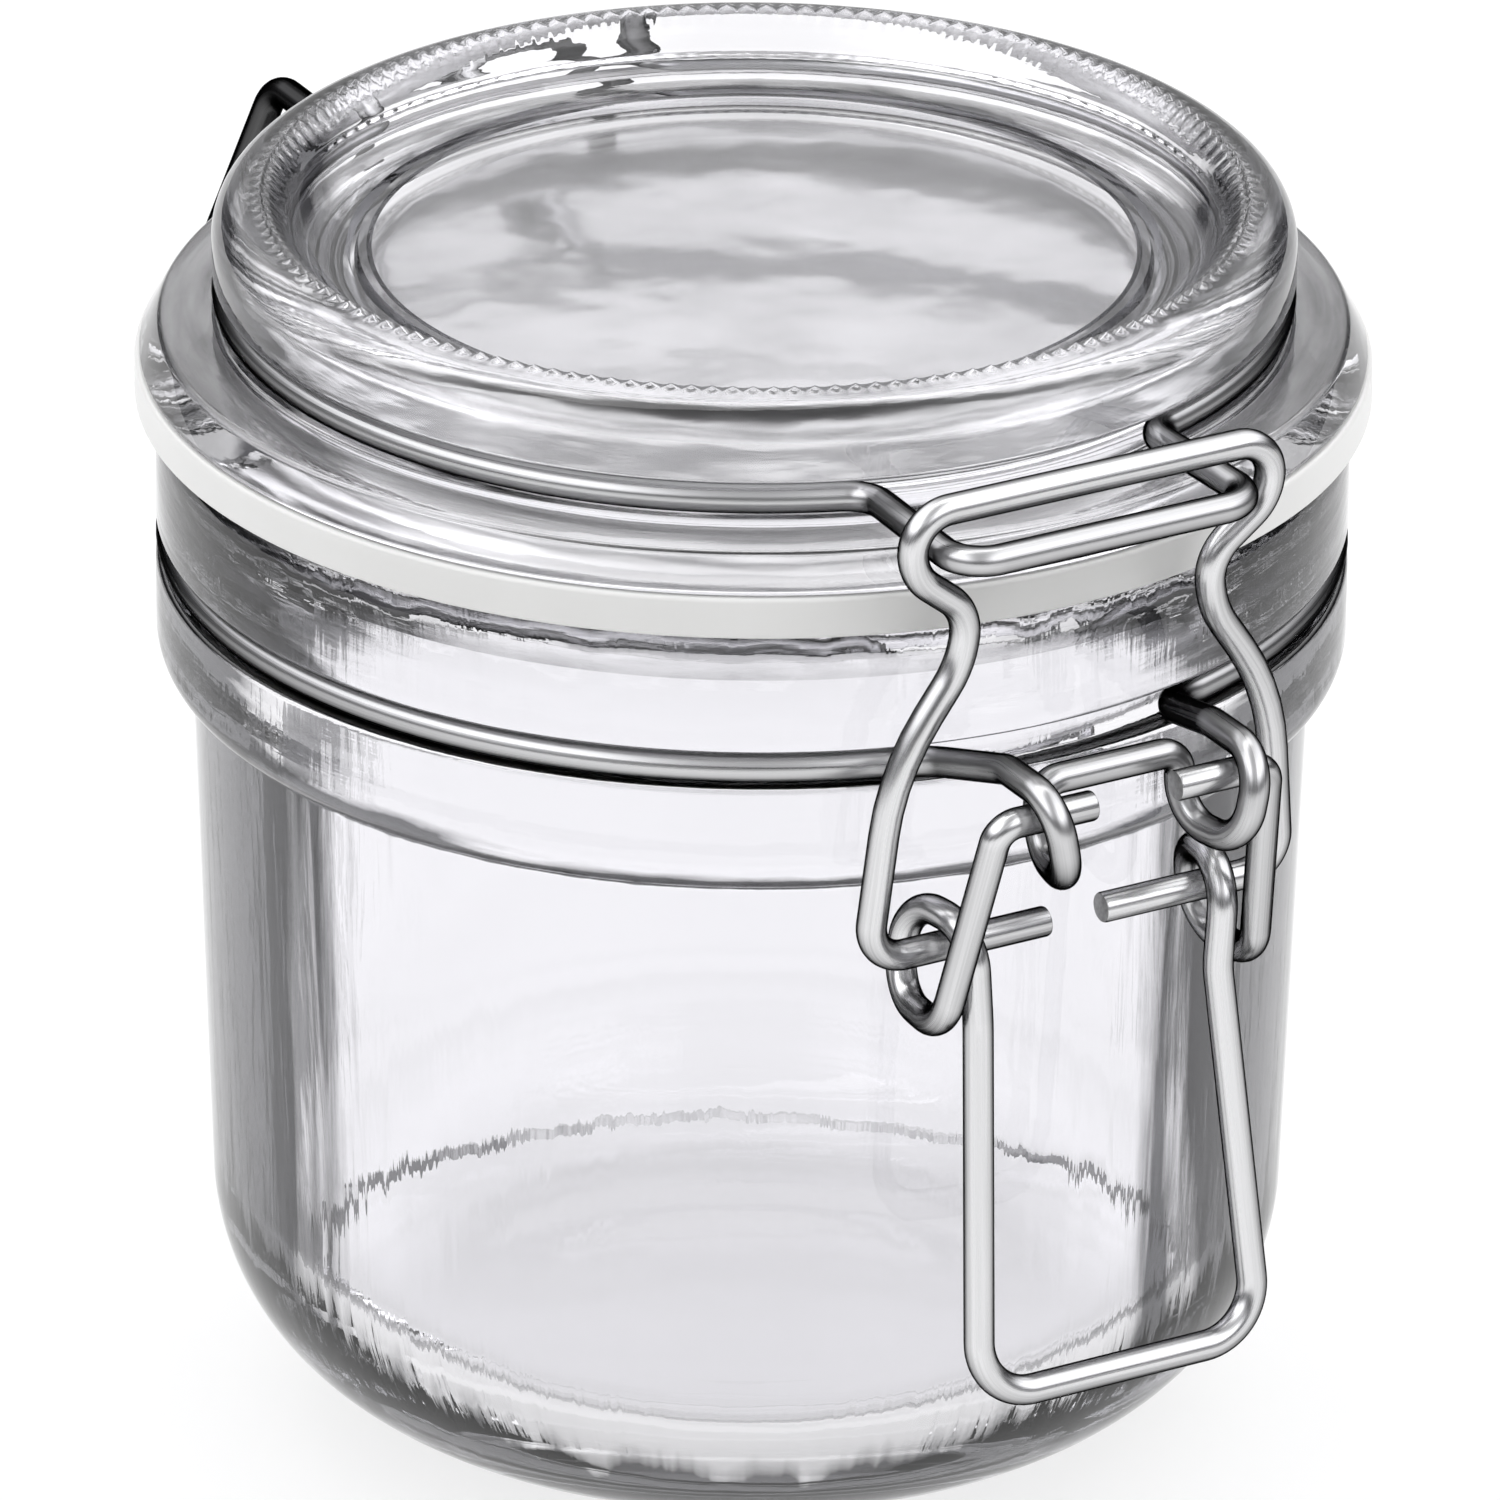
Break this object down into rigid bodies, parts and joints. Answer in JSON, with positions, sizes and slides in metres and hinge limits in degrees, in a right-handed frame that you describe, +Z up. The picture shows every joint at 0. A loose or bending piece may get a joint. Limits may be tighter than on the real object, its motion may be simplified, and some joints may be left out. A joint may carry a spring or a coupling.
{
  "type": "bail clamp jar",
  "caption": "Round glass storage jar with a hinged glass lid on a rubber ring, held shut by a hooked wire bail and an over-centre wire lever.",
  "frame": {"origin": "centre of the base on the jar's axis, on the table", "axes": "+Z up along the jar's axis, the clasp at -Y and the hinge at +Y"},
  "size_m": [0.096, 0.1271, 0.0995],
  "materials": {
    "jar_glass": "clear, smooth",
    "lid_glass": "clear, smooth",
    "rubber": "milky, satin",
    "neck_steel": "drawn wire, satin",
    "lid_steel": "drawn wire, satin",
    "clasp_steel": "drawn wire, satin"
  },
  "bodies": {
    "jar": {"jar_body": "jar_glass", "neck_wire": "neck_steel"},
    "lid": {"lid": "lid_glass", "gasket": "rubber", "lid_wire": "lid_steel"},
    "lever": {"lever": "clasp_steel"},
    "bail": {"bail": "clasp_steel"}
  },
  "joints": [
    {"name": "lid_hinge", "type": "hinge", "parent": "jar", "child": "lid", "pos_m": [0, 0.0595, 0.073], "axis": [-1, 0, 0], "range_deg": [0, 110]},
    {"name": "lever_swing", "type": "hinge", "parent": "jar", "child": "lever", "pos_m": [0, -0.058, 0.0718], "axis": [-1, 0, 0], "range_deg": [0, 85]},
    {"name": "bail_swing", "type": "hinge", "parent": "lever", "child": "bail", "pos_m": [0, -0.0494, 0.0584], "axis": [-1, 0, 0], "range_deg": [-150, 0]}
  ],
  "couplings": [
    {"joint": "bail_swing", "follows": "lever_swing", "ratio": -1.75}
  ]
}
